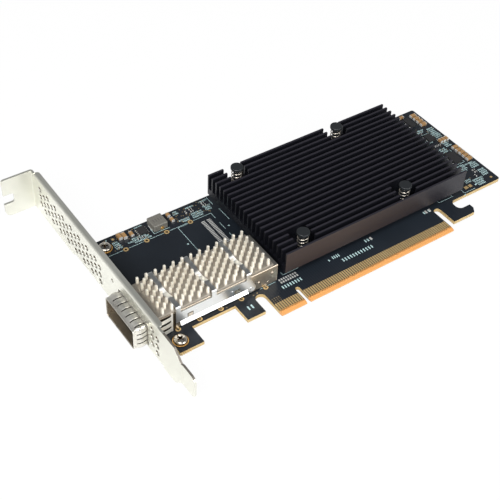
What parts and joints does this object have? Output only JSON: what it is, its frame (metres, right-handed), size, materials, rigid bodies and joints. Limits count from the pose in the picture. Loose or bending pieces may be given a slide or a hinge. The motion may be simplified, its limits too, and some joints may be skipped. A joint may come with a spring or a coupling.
{
  "type": "network interface card",
  "caption": "Low-profile expansion card with a caged optical port, a pin-fin and a straight-fin heat sink, gold edge contacts and a vented full-height steel bracket.",
  "frame": {"origin": "middle of the bottom of the card's box, as it lies component side up", "axes": "+Z out of the component side, +X from the bracket to the rear end of the board, +Y from the edge contacts to the far edge"},
  "size_m": [0.183, 0.12, 0.0192],
  "materials": {
    "board": "black solder mask over glass-fibre board",
    "gold": "thin gold plating",
    "bracket": "bright plated sheet steel",
    "screw": "bright plated screw",
    "cage": "tinned sheet metal",
    "connector": "black moulded plastic",
    "pin_sink": "bare cast aluminium",
    "clip": "bright spring steel",
    "fin_sink": "black anodised aluminium",
    "push_pin": "black moulded nylon",
    "spring": "bright spring wire",
    "chip": "dark green chip carrier",
    "lid": "dull nickel-plated lid",
    "pad": "grey thermal pad",
    "inductor": "pressed grey iron powder",
    "tin": "tin plating",
    "capacitor": "tan ceramic",
    "resistor": "black coated ceramic",
    "chip_small": "black moulded package"
  },
  "bodies": {
    "root": {"board": "board", "edge_contacts": "gold", "bracket": "bracket", "bracket_screws": "screw", "screw_pads": "gold", "port_cage": "cage", "cage_collar": "cage", "cage_gasket": "cage", "port_connector": "connector", "port_contacts": "gold", "pin_heat_sink": "pin_sink", "spring_clip": "clip", "fin_heat_sink": "fin_sink", "push_pins": "push_pin", "pin_springs": "spring", "main_chip": "chip", "chip_lid": "lid", "thermal_pad": "pad", "inductor": "inductor", "inductor_ends": "tin", "capacitors": "capacitor", "capacitor_ends": "tin", "resistors": "resistor", "resistor_ends": "tin", "small_chips": "chip_small", "chip_leads": "tin", "leg_rings": "gold", "spare_port_pads": "tin", "bare_pads": "tin", "gold_pads": "gold"}
  },
  "joints": []
}
